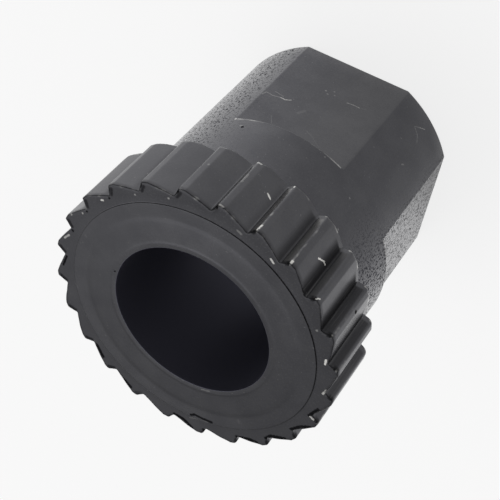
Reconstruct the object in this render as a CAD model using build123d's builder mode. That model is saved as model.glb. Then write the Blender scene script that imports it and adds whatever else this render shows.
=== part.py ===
from build123d import *
from math import cos, degrees, radians, sin
import os

# Hub ring nut tool, turned and milled from one piece of steel.
# A ring of saw teeth sits at the head of a round shank with a plain bore right through it.
# Four flats on the lower half of the shank are held in a vice or turned with a wrench.
# The tool stands on the end of its shank with the toothed face up.
# Origin: centre of the shank's end face. +Z runs along the bore towards the toothed face.
# All sizes are in millimetres, angles in degrees.

# Bore, and the shallow recess round its mouth
bore_diameter = 18.0
mouth_width = 0.7
mouth_depth = 0.1
bore_end_chamfer = 0.4

# Shank with its flats: steel left between bore and flat, and depth of each flat
flat_wall = 3.5
flat_depth = 1.5
flat_length = 17.0
neck_length = 8.7
shank_end_chamfer = 0.3

# Toothed ring round the head of the shank
ring_step = 2.5
ring_width = 8.1
ring_rear_chamfer = 0.45
ring_front_chamfer = 0.2

# Saw teeth: each one climbs a long ramp, runs along its tip and drops down a steep flank
tooth_count = 24
tooth_depth = 1.05
tip_angle = 2.6
flank_angle = 2.0
ramp_bulge = 0.06
root_radius = 0.2
tip_rounding = 0.15
first_flank_angle = -92.4

# Raised land on the toothed face, and the lower margin between it and the tooth roots
land_height = 0.2
land_margin = 1.25

# Derived sizes
bore_radius = bore_diameter / 2
mouth_radius = bore_radius + mouth_width
across_flats = bore_diameter + 2 * flat_wall
shank_radius = across_flats / 2 + flat_depth
ring_radius = shank_radius + ring_step
root_circle_radius = ring_radius - tooth_depth
land_radius = root_circle_radius - land_margin
ring_rear = flat_length + neck_length
ring_front = ring_rear + ring_width
ring_middle = ring_rear + ring_width / 2
face_height = ring_front + land_height
pitch_angle = 360 / tooth_count
cut_margin = 1.0


def on_circle(radius, angle):
    """Point on a circle round the bore's axis."""
    return (radius * cos(radians(angle)), radius * sin(radians(angle)))


def toothed_outline(inset):
    """Outline of the ring of teeth, set back into the steel by the inset."""
    tip_circle = ring_radius - inset
    root_circle = root_circle_radius - inset
    inset_angle = degrees(inset / ring_radius)
    with BuildSketch(mode=Mode.PRIVATE) as outline:
        with BuildLine():
            for tooth in range(tooth_count):
                tooth_angle = first_flank_angle + tooth * pitch_angle
                flank_top = on_circle(tip_circle, tooth_angle - inset_angle)
                root = on_circle(root_circle, tooth_angle + flank_angle - inset_angle)
                ramp_top = on_circle(tip_circle, tooth_angle + pitch_angle - tip_angle)
                next_flank_top = on_circle(tip_circle, tooth_angle + pitch_angle - inset_angle)
                Line(flank_top, root)
                SagittaArc(root, ramp_top, ramp_bulge)
                RadiusArc(ramp_top, next_flank_top, -tip_circle)
        make_face()
        roots = outline.vertices().group_by(SortBy.DISTANCE)[0]
        fillet(roots, radius=root_radius + inset)
        tips = outline.vertices().group_by(SortBy.DISTANCE)[-1]
        fillet(tips, radius=tip_rounding + ring_front_chamfer - inset)
    return outline.sketch


# Toothed ring: saw teeth along its width, with its front and rear edges broken
with BuildPart() as toothed_ring:
    chamfer_start = ring_front - ring_front_chamfer
    full_outline = toothed_outline(0)
    with BuildSketch(Plane.XY.offset(ring_rear)):
        add(full_outline)
    extrude(amount=ring_width - ring_front_chamfer)
    with BuildSketch(Plane.XY.offset(chamfer_start)):
        add(full_outline)
    with BuildSketch(Plane.XY.offset(ring_front)):
        add(toothed_outline(ring_front_chamfer))
    loft(ruled=True)
    with BuildSketch(Plane.XZ):
        with BuildLine():
            Polyline(
                (0, ring_rear),
                (ring_radius - ring_rear_chamfer, ring_rear),
                (ring_radius + cut_margin, ring_rear + ring_rear_chamfer + cut_margin),
                (ring_radius + cut_margin, ring_front + cut_margin),
                (0, ring_front + cut_margin),
                close=True,
            )
        make_face()
    revolve(axis=Axis.Z, mode=Mode.INTERSECT)

with BuildPart() as tool_body:
    # Round shank, its root inside the ring
    with BuildSketch(Plane.XY):
        Circle(shank_radius)
    extrude(amount=ring_middle)

    # Four flats, cut from the shank's end up to their shoulders, and its broken end edge
    with BuildSketch(Plane.XY):
        Circle(shank_radius + cut_margin)
        Rectangle(across_flats, across_flats, mode=Mode.SUBTRACT)
    extrude(amount=flat_length, mode=Mode.SUBTRACT)
    chamfer(tool_body.faces().sort_by(Axis.Z)[0].edges(), length=shank_end_chamfer)

    # Toothed ring, and the raised land that stands out of its face
    add(toothed_ring.part)
    with BuildSketch(Plane.XY.offset(ring_middle)):
        Circle(land_radius)
    extrude(amount=face_height - ring_middle)

    # Bore, with its broken edge at the shank's end and the recess round its mouth
    with BuildSketch(Plane.XZ):
        with BuildLine():
            Polyline(
                (0, -cut_margin),
                (bore_radius + bore_end_chamfer + cut_margin, -cut_margin),
                (bore_radius, bore_end_chamfer),
                (bore_radius, face_height - mouth_depth),
                (mouth_radius, face_height - mouth_depth),
                (mouth_radius, face_height + cut_margin),
                (0, face_height + cut_margin),
                close=True,
            )
        make_face()
    revolve(axis=Axis.Z, mode=Mode.SUBTRACT)

tool_body.part.label = "tool_body"

os.makedirs("parts", exist_ok=True)
export_step(tool_body.part, "parts/tool_body.step")
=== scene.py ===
import math
import random

import bpy
import numpy as np
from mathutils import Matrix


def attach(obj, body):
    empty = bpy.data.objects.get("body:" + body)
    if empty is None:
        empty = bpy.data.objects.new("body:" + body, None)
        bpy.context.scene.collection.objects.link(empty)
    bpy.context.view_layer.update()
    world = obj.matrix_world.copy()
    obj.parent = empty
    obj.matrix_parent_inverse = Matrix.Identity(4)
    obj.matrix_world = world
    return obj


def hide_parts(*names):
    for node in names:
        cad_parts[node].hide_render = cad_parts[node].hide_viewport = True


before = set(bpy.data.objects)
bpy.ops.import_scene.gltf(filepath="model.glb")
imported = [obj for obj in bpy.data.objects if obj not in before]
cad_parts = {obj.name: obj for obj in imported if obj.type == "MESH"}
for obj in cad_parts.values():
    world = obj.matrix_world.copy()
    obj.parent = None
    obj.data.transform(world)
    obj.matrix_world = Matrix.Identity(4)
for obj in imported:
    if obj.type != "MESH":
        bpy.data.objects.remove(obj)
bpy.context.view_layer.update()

# Hub ring nut tool of blackened steel. Sizes are in millimetres and angles in degrees,
# and the mesh is written in metres. The tool stands on its shank, toothed face up (+Z).
METRE = 0.001
SEED = 7

# Main sizes, the same as the solid's
BORE_RADIUS = 9.0
FLAT_REACH = 12.5
SHANK_RADIUS = 14.0
RING_RADIUS = 16.5
ROOT_RADIUS = 15.45
LAND_RADIUS = 14.2
FLAT_TOP = 17.0
RING_REAR = 25.7
RING_FRONT = 33.8

# Height of the land inside the toothed face, slightly worn down, and of the plain bore's top
LAND_HEIGHT = 33.88
PLAIN_BORE_TOP = 33.6

# Saw teeth
TOOTH_COUNT = 24
PITCH = 360 / TOOTH_COUNT
FIRST_FLANK = -92.4
FLANK_ANGLE = 2.0
TIP_ANGLE = 2.6
RAMP_BULGE = 0.06
ROOT_FILLET = 0.2
TIP_ROUNDING = 0.34

# Samples along one tooth: root fillet, ramp, ramp's top corner, tip, tip corner, flank
TOOTH_SAMPLES = (5, 12, 3, 3, 5, 4)

# Start and length of the sampled part of a tooth's ramp, tip and flank, as shares of each
RAMP_SPAN = (0.07, 0.9)
TIP_SPAN = (0.12, 0.5)
FLANK_SPAN = (0.22, 0.58)

# Bare steel on the tip edge of each tooth's flank, anticlockwise from the first flank
TIP_WEAR = (
    0.25, 0.15, 0.3, 0.6, 0.65, 0.5, 0.6, 0.5, 0.4, 0.6, 0.5, 0.45,
    0.6, 0.5, 0.55, 0.4, 0.5, 0.6, 0.45, 0.5, 0.4, 0.35, 0.6, 0.55,
)

# Broken front edge of the teeth as (inset, depth). Waves and bruises widen it unevenly, and
# the sides below it start at a multiple of its depth.
FRONT_BREAK = ((0.12, 0.0), (0.075, 0.015), (0.035, 0.045), (0.01, 0.1), (0.0, 0.16))
WAVE_CRESTS = (17, 31, 53, 97)
WAVE_HEIGHT = 0.16
BRUISE_WIDENING = 0.8
SIDES_START = 3.4
SIDE_ROWS = 27

# Rounded rear edge of the ring, its rear face, and the fillet where the shank is seated
REAR_ROUND = 0.5
REAR_STEPS = (1.0, 0.72, 0.48, 0.28, 0.13, 0.04, 0.0)
REAR_FACE_SHARES = (0.35, 0.7, 1.0)
SEAT_FILLET = 0.2
FILLET_MIDDLE = 0.3

# Round neck, then the flats' shoulder as (height above the flats, share of the flats' depth)
NECK_ROWS = 9
NECK_END = 0.3
SHOULDER = (
    (0.16, -0.004), (0.1, -0.012), (0.05, -0.008), (0.01, 0.02), (-0.01, 0.06),
    (-0.02, 0.9), (-0.05, 0.98), (-0.12, 1.0),
)
FLAT_ROWS = 10

# Broken end edge as (inset, height), end face, and the bore's broken edge as (outset, height)
END_BREAK = ((0.0, 0.42), (0.04, 0.28), (0.14, 0.13), (0.28, 0.03), (0.42, 0.0))
END_FACE_SHARES = (0.4, 0.8, 1.0)
BORE_BREAK = ((0.52, 0.0), (0.38, 0.03), (0.05, 0.36), (0.0, 0.5))
BORE_ROWS = 9

# Land from the bore's mouth outward as (radius, height above the land), ending with the step
# down to the toothed face
LAND_SECTION = (
    (9.0, -0.06), (9.015, -0.016), (9.04, -0.005), (9.07, -0.003), (9.5, 0.008),
    (9.55, 0.0085), (9.58, 0.0075), (9.75, -0.002), (9.78, -0.0028), (10.0, -0.0028),
    (10.4, 0.0), (11.4, 0.0), (12.0, 0.0), (12.15, -0.002), (12.5, -0.014),
    (12.62, -0.016), (12.8, -0.013), (13.4, 0.002), (14.0, 0.018), (14.13, 0.02),
    (14.17, 0.02), (14.19, 0.016), (14.2, -0.03), (14.21, -0.074), (14.23, -0.08),
    (14.32, -0.08),
)
LAND_STEP_ROWS = 5
TOOTHED_FACE_SHARES = (0.35, 0.68, 0.84)

# Middles of the areas with the most or least wear, painted shade and painted sheen, as angles round the
# tool
SHADIEST_GAPS = -143
DARKEST_FLANKS = -160
DARKEST_TOOTHED_FACE = -120
DARKEST_LAND = 185
LEAST_REAR_WEAR = -85
SHEEN_FLANKS = -105
WORN_SHOULDER_ROWS = 4


def polar(radius, angle):
    """Point at a radius and an angle in degrees."""
    return np.array([radius * math.cos(math.radians(angle)), radius * math.sin(math.radians(angle))])


def unit(vector):
    """Vector of length one in the same direction."""
    return vector / np.linalg.norm(vector)


def outward(direction):
    """Outward normal of an outline that runs anticlockwise."""
    return np.array([direction[1], -direction[0]])


def corner(point, arriving, leaving, radius, count):
    """Points and normals of a fillet at a corner of the outline."""
    turn = math.atan2(arriving[0] * leaving[1] - arriving[1] * leaving[0], arriving @ leaving)
    reach = radius * math.tan(abs(turn) / 2)
    side = math.copysign(1.0, turn)
    centre = point - arriving * reach - outward(arriving) * side * radius
    fillet = []
    for step in range(count):
        angle = turn * step / (count - 1)
        spin = np.array([[math.cos(angle), -math.sin(angle)], [math.sin(angle), math.cos(angle)]])
        normal = spin @ outward(arriving)
        fillet.append((centre + normal * side * radius, normal))
    return fillet


def along_run(span, count):
    """Places of the samples on one run of a tooth, as shares of the run."""
    return [span[0] + span[1] * (step + 0.5) / count for step in range(count)]


def toothed_outline(rng):
    """Outline of the ring as points and outward normals, one tooth after another."""
    at_root, on_ramp, at_top, on_tip, at_tip, on_flank = TOOTH_SAMPLES
    samples = []
    for tooth in range(TOOTH_COUNT):
        angle = FIRST_FLANK + tooth * PITCH
        flank_top = polar(RING_RADIUS, angle)
        root = polar(ROOT_RADIUS, angle + FLANK_ANGLE)
        ramp_top = polar(RING_RADIUS, angle + PITCH - TIP_ANGLE)
        next_top = polar(RING_RADIUS, angle + PITCH)
        next_root = polar(ROOT_RADIUS, angle + PITCH + FLANK_ANGLE)
        flank = unit(root - flank_top)
        chord = ramp_top - root
        bulge = outward(unit(chord)) * 4 * RAMP_BULGE
        tip = unit(next_top - ramp_top)
        next_flank = unit(next_root - next_top)
        tip_radius = TIP_ROUNDING * rng.uniform(0.85, 1.2)
        samples += corner(root, flank, unit(chord + bulge), ROOT_FILLET, at_root)
        for share in along_run(RAMP_SPAN, on_ramp):
            point = root + chord * share + bulge * share * (1 - share)
            samples.append((point, outward(unit(chord + bulge * (1 - 2 * share)))))
        samples += corner(ramp_top, unit(chord - bulge), tip, TIP_ROUNDING, at_top)
        for share in along_run(TIP_SPAN, on_tip):
            samples.append((ramp_top + (next_top - ramp_top) * share, outward(tip)))
        samples += corner(next_top, tip, next_flank, tip_radius, at_tip)
        for share in along_run(FLANK_SPAN, on_flank):
            samples.append((next_top + (next_root - next_top) * share, outward(next_flank)))
    points = np.array([point for point, normal in samples])
    normals = np.array([normal for point, normal in samples])
    return points, normals


def flat_angles(count):
    """Angles of the columns round the shank, with a column on every corner of the flats."""
    half_flat = math.degrees(math.acos(FLAT_REACH / SHANK_RADIUS))
    per_quarter = count // 4
    on_flat = round(per_quarter * half_flat / 45)
    quarter = []
    for step in range(per_quarter):
        if step < on_flat:
            quarter.append(-half_flat + 2 * half_flat * step / on_flat)
        else:
            share = (step - on_flat) / (per_quarter - on_flat)
            quarter.append(half_flat + (90 - 2 * half_flat) * share)
    return np.array([angle + 90 * side for side in range(4) for angle in quarter]) - 90


def shank_outline(angles, inset):
    """Radius of the flatted shank at each angle, set back by the inset."""
    off_flat = (angles + 45) % 90 - 45
    flat = (FLAT_REACH - inset) / np.cos(np.radians(off_flat))
    return np.minimum(SHANK_RADIUS - inset, flat)


def ring_row(radius, angle, height):
    """One closed row of vertices from radii, angles and heights."""
    radius = np.broadcast_to(radius, angle.shape)
    height = np.broadcast_to(height, angle.shape)
    turn = np.radians(angle)
    return np.stack([radius * np.cos(turn), radius * np.sin(turn), height], axis=1)


def column_angles(row):
    """Angle of each vertex of a row."""
    return np.degrees(np.arctan2(row[:, 1], row[:, 0]))


def turn_between(angles, angle):
    """Turn between each of the angles and one other angle, from 0 to 180 degrees."""
    return np.abs((angles - angle + 180) % 360 - 180)


def blend_rows(first, last, share):
    """Row between two rows, blended in radius, angle and height."""
    radii = [np.hypot(row[:, 0], row[:, 1]) for row in (first, last)]
    angles = [column_angles(row) for row in (first, last)]
    gap = (angles[1] - angles[0] + 180) % 360 - 180
    height = first[:, 2] + (last[:, 2] - first[:, 2]) * share
    return ring_row(radii[0] + (radii[1] - radii[0]) * share, angles[0] + gap * share, height)


def tool_rows():
    """Rows of the closed surface, once round its section from the ring's front edge."""
    rng = random.Random(SEED)
    points, normals = toothed_outline(rng)
    count = len(points)
    even = FIRST_FLANK + FLANK_ANGLE + 360 * np.arange(count) / count
    shank = flat_angles(count)
    start = int(np.argmin(turn_between(shank, even[0])))
    shank = np.roll(shank, -start)
    rows = []

    # Toothed ring: broken front edge, sides and rounded rear edge
    waves = 0
    for crests in WAVE_CRESTS:
        waves = waves + np.sin(np.arange(count) * 2 * math.pi * crests / count + rng.uniform(0, 6.3))
    bruise = column_shares()[-1]
    width = 1 + WAVE_HEIGHT * waves + BRUISE_WIDENING * bruise
    for inset, depth in FRONT_BREAK:
        edge = points - normals * (inset * width)[:, None]
        rows.append(np.column_stack([edge, RING_FRONT - depth * width]))
    sides_top = RING_FRONT - SIDES_START * FRONT_BREAK[-1][1]
    sides_end = RING_REAR + REAR_ROUND
    for height in np.linspace(sides_top, sides_end, SIDE_ROWS + 1)[:-1]:
        rows.append(np.column_stack([points, np.full(count, height)]))
    radii = np.hypot(points[:, 0], points[:, 1])
    angles = column_angles(points)
    for share in REAR_STEPS:
        rise = REAR_ROUND * share
        limit = RING_RADIUS - REAR_ROUND + math.sqrt(REAR_ROUND ** 2 - (REAR_ROUND - rise) ** 2)
        rows.append(ring_row(np.minimum(radii, limit - 0.02 * (1 - share)), angles, RING_REAR + rise))

    # Rear face of the ring, in to the round shank
    ring_rear = rows[-1]
    seat = ring_row(SHANK_RADIUS + SEAT_FILLET, shank, RING_REAR)
    for share in REAR_FACE_SHARES:
        rows.append(blend_rows(ring_rear, seat, share))
    middle = FILLET_MIDDLE * SEAT_FILLET
    rows.append(ring_row(SHANK_RADIUS + middle, shank, RING_REAR - middle))
    neck_top = RING_REAR - SEAT_FILLET
    for height in np.linspace(neck_top, FLAT_TOP + NECK_END, NECK_ROWS):
        rows.append(ring_row(SHANK_RADIUS, shank, height))

    # Shoulders of the flats: rounded outer edge, floor, small inner fillet
    flats = shank_outline(shank, 0)
    step = SHANK_RADIUS - flats
    for rise, share in SHOULDER:
        rows.append(ring_row(SHANK_RADIUS - step * share, shank, FLAT_TOP + rise))
    for height in np.linspace(FLAT_TOP + SHOULDER[-1][0], END_BREAK[0][1], FLAT_ROWS)[1:-1]:
        rows.append(ring_row(flats, shank, height))

    # Broken end edge, end face, the bore's broken edge and the bore
    for inset, height in END_BREAK:
        rows.append(ring_row(shank_outline(shank, inset), shank, height))
    outer = rows[-1]
    inner = ring_row(BORE_RADIUS + BORE_BREAK[0][0], even, BORE_BREAK[0][1])
    for share in END_FACE_SHARES:
        rows.append(blend_rows(outer, inner, share))
    for outset, height in BORE_BREAK[1:]:
        rows.append(ring_row(BORE_RADIUS + outset, even, height))
    for height in np.linspace(BORE_BREAK[-1][1], PLAIN_BORE_TOP, BORE_ROWS)[1:]:
        rows.append(ring_row(BORE_RADIUS, even, height))

    # Mouth of the bore, raised land with its shallow grooves, and the lower toothed face
    for radius, rise in LAND_SECTION:
        rows.append(ring_row(radius, even, LAND_HEIGHT + rise))
    face_edge = rows[-1]
    for share in TOOTHED_FACE_SHARES:
        rows.append(blend_rows(face_edge, rows[0], share))
    return rows


def fade(values, low, high):
    """Share from 0 at low to 1 at high."""
    return np.clip((values - low) / (high - low), 0, 1)


def column_shares():
    """Shares of tip edge, flank, climb of the ramp and bruise for each column of the outline."""
    at_root, on_ramp, at_top, on_tip, at_tip, on_flank = TOOTH_SAMPLES
    plain = [0] * (at_root + on_ramp + at_top + on_tip)
    tip_edge = plain + [0.3, 0.9, 1, 0.9, 0.3] + [0] * on_flank
    flank = plain + [0, 0, 0, 0, 0.5] + [1] * on_flank
    climb = [0] * at_root + [(step + 0.5) / on_ramp for step in range(on_ramp)]
    climb += [1] * (at_top + on_tip + at_tip + on_flank)
    bruise = plain + [0, 0.2, 0.5, 0.8, 1] + [1, 0.9, 0.5, 0.1]
    return [np.tile(share, TOOTH_COUNT) for share in (tip_edge, flank, climb, bruise)]


def wear_and_painted_light(rows):
    """Bare edges, painted shade in the gaps and on the teeth, land and flanks, and painted sheen on
    some flanks, for each vertex.
    """
    tip_edge, flank, climb, bruise = column_shares()
    angles = column_angles(rows[0])
    per_tooth = sum(TOOTH_SAMPLES)
    next_tooth = TIP_WEAR[1:] + TIP_WEAR[:1]
    tip_edge = tip_edge * np.repeat(next_tooth, per_tooth)
    # Painted shade: darkest in the gaps by each ramp's root and on the flanks, darker towards one side
    # on the toothed face, the land and the land's step, and on the bruised front edges
    from_shadiest_gaps = turn_between(angles, SHADIEST_GAPS)
    gap_shade = fade(50 - from_shadiest_gaps, 5, 40)
    gap_shade = np.where(from_shadiest_gaps > 75, 0.3, gap_shade)
    in_root = 1 - fade(climb, 0, 0.22 + 0.38 * gap_shade)
    on_flank = flank * 0.65 * fade(turn_between(angles, DARKEST_FLANKS), 55, 10)
    gaps = np.maximum(on_flank, 0.82 * gap_shade * np.minimum(1.6 * in_root, 1))
    on_toothed_face = 0.05 + 0.33 * fade(turn_between(angles, DARKEST_TOOTHED_FACE), 140, 20)
    on_land = 0.22 * fade(turn_between(angles, DARKEST_LAND), 85, 45)
    on_land_step = 0.9 * fade(from_shadiest_gaps, 90, 15)
    rear_wear = 0.35 + 0.75 * fade(turn_between(angles, LEAST_REAR_WEAR), 20, 50)

    # First row of each part of the surface
    sides = len(FRONT_BREAK)
    rear_edge = sides + SIDE_ROWS
    rear_face = rear_edge + len(REAR_STEPS)
    shoulder = rear_face + len(REAR_FACE_SHARES) + 1 + NECK_ROWS
    land = len(rows) - len(TOOTHED_FACE_SHARES) - len(LAND_SECTION)
    toothed_face = len(rows) - len(TOOTHED_FACE_SHARES) - 1
    land_step = toothed_face - LAND_STEP_ROWS

    shank = column_angles(rows[shoulder])
    on_flats = fade(SHANK_RADIUS - shank_outline(shank, 0), 0.0, 0.1)
    off_flat = np.abs((shank + 45) % 90 - 45)
    wear = np.zeros((len(rows), len(tip_edge)))
    painted_shade = np.zeros_like(wear)
    rubbed_and_sheen = np.zeros_like(wear)
    # Painted sheen on the flanks on one side of the ring
    rubbed_and_sheen[sides:rear_edge] = 0.3 * flank * fade(turn_between(angles, SHEEN_FLANKS), 38, 5)
    for number, row in enumerate(rows):
        if number < sides:
            painted_shade[number] = np.maximum(gaps, on_toothed_face + 0.7 * bruise)
            wear[number] = np.maximum(1.2 * tip_edge, 0.45 * (1 - flank))
        elif number < rear_edge:
            wear[number] = tip_edge * (0.7 + 0.5 * fade(row[:, 2], RING_REAR, RING_FRONT))
            painted_shade[number] = gaps
        elif number < rear_face:
            radius = np.hypot(row[:, 0], row[:, 1])
            near_edge = fade(row[:, 2], RING_REAR + 0.42, RING_REAR + 0.2)
            wear[number] = rear_wear * fade(radius, 15.98, 16.1) * near_edge
        elif shoulder <= number < shoulder + WORN_SHOULDER_ROWS:
            wear[number] = on_flats * (0.45 + 0.35 * fade(off_flat, 12, 24))
        elif number >= toothed_face:
            painted_shade[number] = on_toothed_face
        elif number >= land_step:
            painted_shade[number] = on_land_step
        elif number >= land:
            painted_shade[number] = on_land
    painted_shade[0] = np.maximum(bruise, on_toothed_face)
    return wear, painted_shade, rubbed_and_sheen


def build_tool():
    """Mesh object of the whole tool."""
    rows = tool_rows()
    count = len(rows[0])
    vertices = np.concatenate(rows) * METRE
    faces = []
    for row in range(len(rows)):
        below = (row + 1) % len(rows)
        for column in range(count):
            beside = (column + 1) % count
            faces.append((
                row * count + column,
                below * count + column,
                below * count + beside,
                row * count + beside,
            ))
    mesh = bpy.data.meshes.new("tool_steel")
    mesh.from_pydata(vertices.tolist(), [], faces)
    mesh.polygons.foreach_set("use_smooth", [True] * len(faces))
    for name, values in zip(("wear", "painted_shade", "rubbed_and_sheen"), wear_and_painted_light(rows)):
        layer = mesh.attributes.new(name, "FLOAT", "POINT")
        layer.data.foreach_set("value", values.ravel())
    tool = bpy.data.objects.new("tool_steel", mesh)
    bpy.context.scene.collection.objects.link(tool)
    return tool


class Nodes:
    """Short way to add and join shader nodes in one tree."""

    def __init__(self, tree):
        self.tree = tree
        tree.nodes.clear()

    def add(self, kind, links=None, **settings):
        node = self.tree.nodes.new(kind)
        for name, value in settings.items():
            setattr(node, name, value)
        for socket, value in (links or {}).items():
            if isinstance(value, bpy.types.NodeSocket):
                self.tree.links.new(value, node.inputs[socket])
            else:
                node.inputs[socket].default_value = value
        return node

    def math(self, operation, first, second=0.0):
        return self.add("ShaderNodeMath", {0: first, 1: second}, operation=operation).outputs[0]

    def vector(self, operation, first, second=(0, 0, 0)):
        return self.add("ShaderNodeVectorMath", {0: first, 1: second}, operation=operation)

    def remap(self, value, low, high, to_low=0.0, to_high=1.0):
        settings = {
            "Value": value,
            "From Min": low,
            "From Max": high,
            "To Min": to_low,
            "To Max": to_high,
        }
        return self.add("ShaderNodeMapRange", settings, interpolation_type="SMOOTHSTEP").outputs[0]

    def mix(self, share, first, second):
        sockets = {0: share, 6: first, 7: second}
        return self.add("ShaderNodeMix", sockets, data_type="RGBA").outputs[2]

    def noise(self, place, scale, detail=2.0, roughness=0.5):
        settings = {"Vector": place, "Scale": scale, "Detail": detail, "Roughness": roughness}
        return self.add("ShaderNodeTexNoise", settings).outputs["Fac"]


# Marks of use and painted shade as (brightness, width, point, point, ...). Brightness runs
# from 1, fresh bare steel, to 0.1, a dull scuff, and -1 is painted shade, dark in nicks and
# on the teeth's broken front edges. Points on the front face are (angle, radius), on the teeth
# and the shank (angle, height), and on the flat (x, height).
FACE_MARKS = (
    (0.3, 0.12, (-58, 15.1)),
    (0.3, 0.12, (-73, 15.05)),
    (0.15, 0.14, (-102, 15), (-103.6, 14.9)),
    (0.7, 0.12, (-117.6, 14.95), (-119.1, 14.85)),
    (0.25, 0.14, (-150.1, 14.96)),
    (1.0, 0.12, (-163.6, 15.27), (-165.8, 15.12)),
    (0.3, 0.14, (-167.4, 16.3)),
    (0.7, 0.12, (178.6, 15.3), (-178.8, 15.5)),
    (0.7, 0.12, (163.2, 15.4), (163, 15.8)),
    (0.8, 0.12, (-40.5, 15.32), (-41.2, 15.26)),
    (0.4, 0.12, (-27, 15.35)),
    (0.4, 0.12, (-22, 16.15)),
    (0.5, 0.12, (-11.6, 15.4), (-8.7, 15.8)),
    (0.08, 0.07, (-18.4, 13.82), (-17.8, 13.6)),
    (0.07, 0.09, (-13.4, 13.7)),
    (0.06, 0.1, (13.7, 14.3), (15.2, 14.0)),
    (0.12, 0.08, (97.2, 14.6), (103.1, 14.17), (106.4, 14.12)),
    (0.04, 0.12, (124.7, 12.9), (124.3, 13.3)),
    (0.15, 0.08, (106, 9.3), (112, 9.32)),
    (-1, 0.12, (-9, 9.38)),
    (-1, 0.16, (-44.8, 15.2)),
    (-1, 0.16, (-29.7, 15.2)),
    (-1, 0.18, (-15, 15.2)),
    (-1, 0.13, (0.3, 15.2), (5.7, 15.65)),
    (-1, 0.22, (46, 15.3), (51.9, 15.7)),
    (-1, 0.22, (60.9, 15.6), (68.5, 15.9)),
    (-1, 0.22, (89.8, 15.25), (94, 15.3), (98, 16)),
    (-1, 0.27, (103.7, 15.7)),
    (-1, 0.22, (119.5, 15.4), (125, 15.55), (128.2, 16)),
    (-1, 0.22, (134, 15.5), (137.3, 15.3), (142.9, 16)),
    (-1, 0.2, (149.5, 15.25), (154.7, 15.5), (158.3, 16.1)),
    (-1, 0.2, (163.3, 15.2), (169.5, 15.55)),
    (-1, 0.18, (98, 13.95), (100, 13.65), (103.8, 13.82), (108.7, 13.93)),
)
TOOTH_MARKS = (
    (0.15, 0.14, (-79.5, 29.15)),
    (1.0, 0.10, (-102.1, 28.4), (-103.5, 28.6)),
    (0.3, 0.14, (-92.8, 33.6), (-94.2, 33.65)),
    (0.8, 0.12, (-107.3, 33.5), (-107.6, 32.8)),
    (0.9, 0.15, (-122.4, 33.6), (-122.6, 33.35)),
    (0.8, 0.08, (-137.3, 33.75), (-137.7, 33.5), (-138.3, 33.3)),
    (1.0, 0.10, (-129.2, 30.0), (-131, 29.6), (-133, 29.3)),
    (1.0, 0.11, (-133.5, 29.35)),
    (0.12, 0.14, (-92.7, 29.5), (-92.8, 28.3)),
    (0.5, 0.14, (-92, 26.1), (-93.4, 26.1)),
    (0.8, 0.14, (-107.2, 26.1)),
    (-1, 0.2, (-154.4, 29.0)),
    (0.3, 0.12, (-152.2, 33.6)),
)
SHANK_MARKS = (
    (0.6, 0.12, (-63.1, 17.1)),
    (-1, 0.17, (-70, 18.6)),
    (0.25, 0.07, (-68.5, 18.4), (-69.3, 18.35)),
    (0.25, 0.06, (-134.4, 2.1), (-131.9, 2.7)),
    (0.1, 0.06, (-131.9, 2.7), (-129.5, 3.4), (-133.2, 3.8), (-135.5, 4.6)),
    (0.12, 0.08, (-136.2, 8.9), (-137.1, 8.6)),
    (0.15, 0.1, (-127, 19.05)),
    (0.12, 0.1, (-107.8, 17.5)),
    (0.2, 0.12, (-131.7, 23.2)),
)
FLAT_MARKS = (
    (0.15, 0.05, (6.2, 11.5), (6.0, 10.9), (5.2, 11.0), (4.3, 10.75)),
    (0.35, 0.06, (4.3, 10.75), (3.8, 10.8), (3.2, 10.4)),
    (0.1, 0.05, (5.3, 10.2), (4.2, 10.4)),
    (0.16, 0.12, (1.0, 6.4)),
    (0.16, 0.12, (0.6, 6.8)),
    (0.12, 0.13, (0.15, 5.95)),
    (0.12, 0.13, (-0.15, 6.55)),
    (0.25, 0.06, (-1.8, 6.8), (-2.5, 6.7), (-3.3, 6.7)),
    (0.08, 0.05, (-3.3, 6.7), (-4.0, 6.5)),
    (0.06, 0.05, (3.6, 14.2), (3.0, 15.3)),
    (0.06, 0.06, (-0.5, 14), (-1.5, 14.5), (-2.7, 15.5)),
    (0.04, 0.2, (1.6, 11.9), (1.2, 11.1)),
)


def on_face(angle, radius):
    """Point of the front face, on its raised land or on the lower toothed part."""
    return (*polar(radius, angle), LAND_HEIGHT if radius < LAND_RADIUS else RING_FRONT)


def on_teeth(angle, height):
    """Point on the side of the toothed ring."""
    points = toothed_outline(random.Random(SEED))[0]
    nearest = np.argmin(turn_between(column_angles(points), angle))
    return (*points[nearest], height)


def on_shank(angle, height):
    """Point on the round shank."""
    return (*polar(SHANK_RADIUS, angle), height)


def on_flat(x, height):
    """Point on the flat that faces -Y."""
    return (x, -FLAT_REACH, height)


DARK_STEEL = (0.083, 0.083, 0.091, 1.0)
PALE_STEEL = (0.097, 0.097, 0.105, 1.0)
BORE_STEEL = (0.105, 0.105, 0.14, 1.0)
# Bare steel of worn edges and scratches, also the colour of the painted sheen on some flanks
BARE_STEEL_AND_SHEEN = (0.8, 0.79, 0.76, 1.0)
# Colour of the painted shade in the gaps, on the flanks, faces and bruises, and in nicks
PAINTED_SHADE_COLOUR = (0.018, 0.018, 0.02, 1.0)

# Radii over which the look of the land gives way to that of the ring's sides
RING_SIDE_RADII = (14.4, 15.2)

# Painted shade of the bruise beside each flank: where it is measured, its ends as (across, radius), its
# soft edge
BRUISE_RADIUS = 16
BRUISE_ENDS = ((-0.3, 16.05), (0.16, 15.45))
BRUISE_FADE = (0.34, 0.04)

# Sides of the tool with a look of their own, as angles round it
BRUISED_SIDE = -10
FRONT_FLAT_SIDE = -90
ROUGH_SIDE = 178
RUBBED_SIDE = -137
SMOOTH_SIDE = -98


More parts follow.
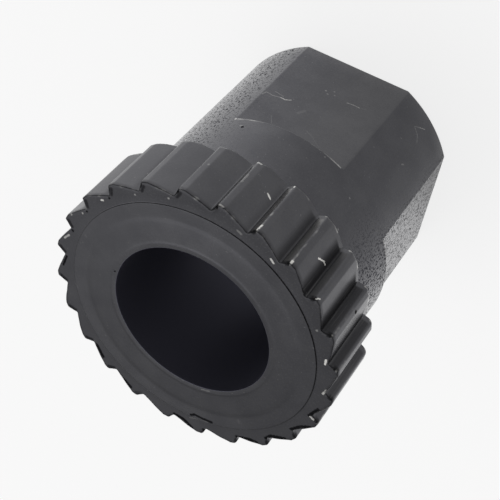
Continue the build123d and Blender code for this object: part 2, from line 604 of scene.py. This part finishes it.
def distance_to_mark(nodes, place, start, end):
    """Distance from a place to the straight line between two points, or to one point."""
    if start is end:
        return nodes.vector("DISTANCE", place, start.tolist()).outputs["Value"]
    axis = end - start
    offset = nodes.vector("SUBTRACT", place, start.tolist()).outputs[0]
    along = nodes.vector("DOT_PRODUCT", offset, (axis / (axis @ axis)).tolist()).outputs["Value"]
    along = nodes.math("MINIMUM", nodes.math("MAXIMUM", along, 0.0), 1.0)
    foot = nodes.add("ShaderNodeVectorMath", {0: axis.tolist(), "Scale": along}, operation="SCALE")
    return nodes.vector("DISTANCE", offset, foot.outputs[0]).outputs["Value"]


def bruise_shade(nodes, place, radius, height):
    """Mask of painted shade on the bruised front edge beside each tooth's flank, on one side of the
    ring.
    """
    parts = nodes.add("ShaderNodeSeparateXYZ", {0: place}).outputs
    turn = nodes.math("ARCTAN2", parts["Y"], parts["X"])
    turn = nodes.math("MULTIPLY", turn, TOOTH_COUNT / (2 * math.pi))
    turn = nodes.math("FRACT", nodes.math("ADD", turn, 1.5 - FIRST_FLANK / PITCH + TOOTH_COUNT))
    pitch_length = math.radians(PITCH) * BRUISE_RADIUS
    across = nodes.math("MULTIPLY", nodes.math("SUBTRACT", turn, 0.5), pitch_length)
    local = nodes.add("ShaderNodeCombineXYZ", {"X": across, "Y": radius, "Z": height}).outputs[0]
    start, end = [np.array((*point, RING_FRONT)) for point in BRUISE_ENDS]
    mask = nodes.remap(distance_to_mark(nodes, local, start, end), *BRUISE_FADE)
    side = nodes.vector("DOT_PRODUCT", place, direction(BRUISED_SIDE, 0)).outputs["Value"]
    return nodes.math("MULTIPLY", mask, nodes.remap(side, 0.0, 4.0, 0.0, 0.75))


def mark_masks(nodes, place):
    """Bright masks of the marks of use and dark masks of the painted shade in nicks and on edges."""
    bright = 0.0
    dark = 0.0
    surfaces = (
        (on_face, FACE_MARKS), (on_teeth, TOOTH_MARKS), (on_shank, SHANK_MARKS), (on_flat, FLAT_MARKS),
    )
    for surface, marks in surfaces:
        for tone, width, *points in marks:
            places = [np.array(surface(*point)) for point in points]
            for start, end in zip(places, places[1:] or places):
                away = distance_to_mark(nodes, place, start, end)
                strength = abs(tone)
                fading = {0: away, 1: -1.5 * strength / width, 2: 1.9 * strength}
                mask = nodes.add("ShaderNodeMath", fading, operation="MULTIPLY_ADD").outputs[0]
                mask = nodes.math("MINIMUM", mask, strength)
                if tone < 0:
                    dark = nodes.math("MAXIMUM", mask, dark)
                else:
                    bright = nodes.math("MAXIMUM", mask, bright)
    return bright, dark


def blackened_steel():
    """Dark oxide finish with fine grain and pits, bare on worn edges and in scratches, with painted
    shade and painted sheen.
    """
    material = bpy.data.materials.new("blackened_steel")
    material.use_nodes = True
    nodes = Nodes(material.node_tree)
    place = nodes.add("ShaderNodeTexCoord").outputs["Object"]
    scaled = {0: place, "Scale": 1 / METRE}
    place = nodes.add("ShaderNodeVectorMath", scaled, operation="SCALE").outputs[0]
    parts = nodes.add("ShaderNodeSeparateXYZ", {0: place}).outputs
    height = parts["Z"]
    across = nodes.vector("MULTIPLY", place, (1, 1, 0)).outputs[0]
    radius = nodes.vector("LENGTH", across).outputs["Value"]

    cloud = nodes.noise(place, 0.35, 3.0)
    grain_node = nodes.add("ShaderNodeTexNoise", {"Vector": place, "Scale": 5.0, "Detail": 2.0})
    grain = grain_node.outputs["Fac"]

    # Marks of use and painted shade in nicks and bruises, with slightly ragged outlines
    shift = nodes.vector("SUBTRACT", grain_node.outputs["Color"], (0.5, 0.5, 0.5)).outputs[0]
    spread = {0: shift, 1: (0.22, 0.22, 0.22), 2: place}
    ragged = nodes.add("ShaderNodeVectorMath", spread, operation="MULTIPLY_ADD").outputs[0]
    bright, dark = mark_masks(nodes, ragged)
    dark = nodes.math("MAXIMUM", dark, bruise_shade(nodes, ragged, radius, height))

    # Edge wear from the mesh, broken up by patches, with the mesh's painted shade and painted sheen
    wear = nodes.add("ShaderNodeAttribute", attribute_name="wear").outputs["Fac"]
    painted_shade = nodes.add("ShaderNodeAttribute", attribute_name="painted_shade").outputs["Fac"]
    flank_sheen = nodes.add("ShaderNodeAttribute", attribute_name="rubbed_and_sheen").outputs["Fac"]
    patches = nodes.math("MULTIPLY", nodes.math("SUBTRACT", nodes.noise(place, 1.1, 3.0), 0.5), 1.1)
    wear = nodes.remap(nodes.math("ADD", wear, patches), 0.4, 1.1)
    streak_place = nodes.vector("MULTIPLY", place, (5, 5, 0.12)).outputs[0]
    streaks = nodes.remap(nodes.noise(streak_place, 1.0, 2.0), 0.55, 0.68, 0.0, 0.07)
    bright = nodes.math("MAXIMUM", bright, nodes.math("MULTIPLY", wear, 0.42))
    bright = nodes.math("MAXIMUM", bright, nodes.math("MULTIPLY", painted_shade, streaks))
    beyond_land = nodes.remap(radius, *RING_SIDE_RADII)
    below_face = nodes.remap(height, RING_FRONT - 0.05, RING_FRONT - 0.2)
    on_teeth_sides = nodes.math("MULTIPLY", beyond_land, below_face)
    bright = nodes.math("MAXIMUM", bright, nodes.math("MULTIPLY", on_teeth_sides, 0.013))
    # Painted sheen on the flanks of one side, in the bare steel colour
    bright = nodes.math("MAXIMUM", bright, flank_sheen)

    # The flat that faces -Y is a little brighter towards one edge
    front_flat = nodes.vector("DOT_PRODUCT", place, direction(FRONT_FLAT_SIDE, 0)).outputs["Value"]
    front_flat = nodes.remap(front_flat, FLAT_REACH - 0.1, FLAT_REACH - 0.03)
    below_shoulder = nodes.remap(height, FLAT_TOP + 0.05, FLAT_TOP - 0.05)
    front_flat = nodes.math("MULTIPLY", front_flat, below_shoulder)
    front_flat = nodes.math("MULTIPLY", front_flat, nodes.remap(parts["X"], 4.0, -4.0, 0.0, 0.032))
    bright = nodes.math("MAXIMUM", bright, front_flat)
    # Painted shade from the mesh darkens the colour
    dark = nodes.math("MAXIMUM", dark, nodes.math("MULTIPLY", painted_shade, 0.85))

    # Pits of the rolled surface below the ring, fine grain everywhere
    below_ring = nodes.remap(height, RING_REAR, RING_REAR - 0.3)
    outside = nodes.remap(radius, BORE_RADIUS + 0.02, BORE_RADIUS + 0.1)
    rough_side = nodes.vector("DOT_PRODUCT", place, direction(ROUGH_SIDE, 0)).outputs["Value"]
    rough_side = nodes.math("MULTIPLY", nodes.remap(rough_side, 11.8, 12.4), nodes.remap(height, 9, 17))
    spots = nodes.noise(place, 4.2, 2.0, 0.6)
    specks = nodes.remap(spots, 0.68, 0.78, 0.0, 0.12)
    bright = nodes.math("MAXIMUM", bright, nodes.math("MULTIPLY", specks, outside))
    spots = nodes.math("SUBTRACT", spots, nodes.math("MULTIPLY", rough_side, 0.03))
    pits = nodes.remap(spots, 0.48, 0.37)
    rubbed_and_sheen = nodes.vector("DOT_PRODUCT", place, direction(RUBBED_SIDE, 0)).outputs["Value"]
    rubbed_and_sheen = nodes.remap(rubbed_and_sheen, 13.3, 13.8)
    rubbed_and_sheen = nodes.math("MULTIPLY", rubbed_and_sheen, nodes.remap(height, 20, 15, 0.0, 0.9))
    smooth = nodes.vector("DOT_PRODUCT", place, direction(SMOOTH_SIDE, 0)).outputs["Value"]
    rubbed_and_sheen = nodes.math("MAXIMUM", rubbed_and_sheen, nodes.remap(smooth, 9.8, 12.2, 0.0, 0.8))
    pits = nodes.math("MULTIPLY", pits, nodes.math("SUBTRACT", 1.0, rubbed_and_sheen))
    pits = nodes.math("MULTIPLY", pits, nodes.math("MULTIPLY", below_ring, outside))
    relief = nodes.math("MULTIPLY", grain, 0.2)
    relief = nodes.math("SUBTRACT", relief, nodes.math("MULTIPLY", pits, 0.5))
    bump = nodes.add("ShaderNodeBump", {"Strength": 1.0, "Distance": 0.02 * METRE, "Height": relief})

    tone = nodes.math("ADD", nodes.math("MULTIPLY", cloud, 0.6), nodes.math("MULTIPLY", grain, 0.4))
    colour = nodes.mix(nodes.remap(tone, 0.35, 0.65), DARK_STEEL, PALE_STEEL)
    colour = nodes.mix(outside, BORE_STEEL, colour)
    # Painted shade darkens the colour in nicks, bruises and wherever the mesh carries it
    colour = nodes.mix(dark, colour, PAINTED_SHADE_COLOUR)
    # Bare steel lightens the colour on wear and scratches, and as painted sheen on some flanks
    colour = nodes.mix(bright, colour, BARE_STEEL_AND_SHEEN)
    dull = nodes.math("MAXIMUM", dark, nodes.math("MULTIPLY", pits, 0.85))
    sheen = nodes.mix(dull, (1.0, 1.0, 1.0, 1.0), (0.1, 0.1, 0.1, 1.0))
    on_ring = nodes.math("MULTIPLY", nodes.remap(radius, *RING_SIDE_RADII), 0.1)
    rough = nodes.math("ADD", nodes.math("MULTIPLY", dark, 0.25), nodes.math("ADD", on_ring, 0.27))
    rough = nodes.math("ADD", rough, nodes.math("MULTIPLY", nodes.math("SUBTRACT", 1.0, outside), 0.2))
    metallic = nodes.remap(outside, 0.0, 1.0, 0.5, 1.0)
    shader = nodes.add("ShaderNodeBsdfPrincipled", {
        "Base Color": colour,
        "Metallic": metallic,
        "Roughness": rough,
        "Specular Tint": sheen,
        "Normal": bump.outputs[0],
    })
    nodes.add("ShaderNodeOutputMaterial", {"Surface": shader.outputs[0]})
    return material


# Brightest side of the light tent, where the lamp hangs, in metres and degrees
LIGHT_AZIMUTH = 50
LIGHT_ELEVATION = 65
LAMP_DISTANCE = 0.6


def build_floor():
    """Plain white floor that keeps the tool's shadow, with a painted reflection: a glow seen only in
    reflections, brighter towards the lamp's side.
    """
    half = 3.0
    corners = [(-half, -half, 0), (half, -half, 0), (half, half, 0), (-half, half, 0)]
    mesh = bpy.data.meshes.new("floor")
    mesh.from_pydata(corners, [], [(0, 1, 2, 3)])
    floor = bpy.data.objects.new("floor", mesh)
    bpy.context.scene.collection.objects.link(floor)
    material = bpy.data.materials.new("floor_white")
    material.use_nodes = True
    nodes = Nodes(material.node_tree)
    path = nodes.add("ShaderNodeLightPath")
    place = nodes.add("ShaderNodeTexCoord").outputs["Object"]
    # Painted reflection: the glow that the tool's reflections see on the floor, brighter towards the
    # lamp's side
    bearing = nodes.vector("NORMALIZE", place).outputs[0]
    side = nodes.vector("DOT_PRODUCT", bearing, direction(LIGHT_AZIMUTH, 0)).outputs["Value"]
    painted_reflection = nodes.remap(side, -1.0, -0.1, 0.58, 1.12)
    glossy = nodes.math("MAXIMUM", path.outputs["Is Glossy Ray"], path.outputs["Is Transmission Ray"])
    painted_reflection = nodes.math("MULTIPLY", glossy, painted_reflection)
    seen = nodes.math("MULTIPLY", path.outputs["Is Camera Ray"], 0.8)
    glow = nodes.add("ShaderNodeEmission", {"Strength": nodes.math("MAXIMUM", seen, painted_reflection)})
    matt = nodes.add("ShaderNodeBsdfDiffuse", {"Color": (0.3, 0.3, 0.3, 1.0)})
    both = nodes.add("ShaderNodeAddShader", {0: glow.outputs[0], 1: matt.outputs[0]})
    nodes.add("ShaderNodeOutputMaterial", {"Surface": both.outputs[0]})
    floor.data.materials.append(material)


def build_light():
    """White light tent, brighter high up on one side, and one large soft lamp."""
    world = bpy.data.worlds.new("light_tent")
    bpy.context.scene.world = world
    world.use_nodes = True
    nodes = Nodes(world.node_tree)
    place = nodes.add("ShaderNodeTexCoord").outputs["Generated"]
    brightest = direction(LIGHT_AZIMUTH, LIGHT_ELEVATION)
    near = nodes.vector("DOT_PRODUCT", place, brightest).outputs["Value"]
    level = nodes.remap(near, 0.74, 1.02, 0.3, 1.3)
    camera_ray = nodes.add("ShaderNodeLightPath").outputs["Is Camera Ray"]
    level = nodes.add("ShaderNodeMix", {0: camera_ray, 2: level, 3: 1.0}).outputs[0]
    background = nodes.add("ShaderNodeBackground", {"Strength": level})
    nodes.add("ShaderNodeOutputWorld", {"Surface": background.outputs[0]})

    lamp_data = bpy.data.lights.new("side_lamp", "AREA")
    lamp_data.shape = "DISK"
    lamp_data.size = 0.4
    lamp_data.energy = 0.25
    lamp = bpy.data.objects.new("side_lamp", lamp_data)
    bpy.context.scene.collection.objects.link(lamp)
    lamp.location = [LAMP_DISTANCE * part for part in brightest]
    lamp.rotation_euler = (math.radians(90 - LIGHT_ELEVATION), 0, math.radians(LIGHT_AZIMUTH + 90))


def direction(azimuth, elevation):
    """Unit vector towards a place in the surroundings."""
    flat = math.cos(math.radians(elevation))
    x, y = polar(flat, azimuth)
    return (x, y, math.sin(math.radians(elevation)))


# Camera at the photograph's place, in millimetres and degrees
CAMERA_PLACE = (-34.75, -93.251, 111.462)
CAMERA_TURN = (-39.7746, 29.0292, -170.3144)
CAMERA_LENS = 89.69
CAMERA_SENSOR = 36.0


def build_camera():
    """Camera that shows the tool as the photograph does."""
    data = bpy.data.cameras.new("camera")
    data.lens = CAMERA_LENS
    data.sensor_width = CAMERA_SENSOR
    data.clip_start = 0.01
    camera = bpy.data.objects.new("camera", data)
    bpy.context.scene.collection.objects.link(camera)
    camera.location = [part * METRE for part in CAMERA_PLACE]
    camera.rotation_euler = [math.radians(turn) for turn in CAMERA_TURN]
    bpy.context.scene.camera = camera


tool = build_tool()
tool.data.materials.append(blackened_steel())
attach(tool, "root")
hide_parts("tool_body")
build_floor()
build_light()
build_camera()
bpy.context.scene.view_settings.view_transform = "Standard"
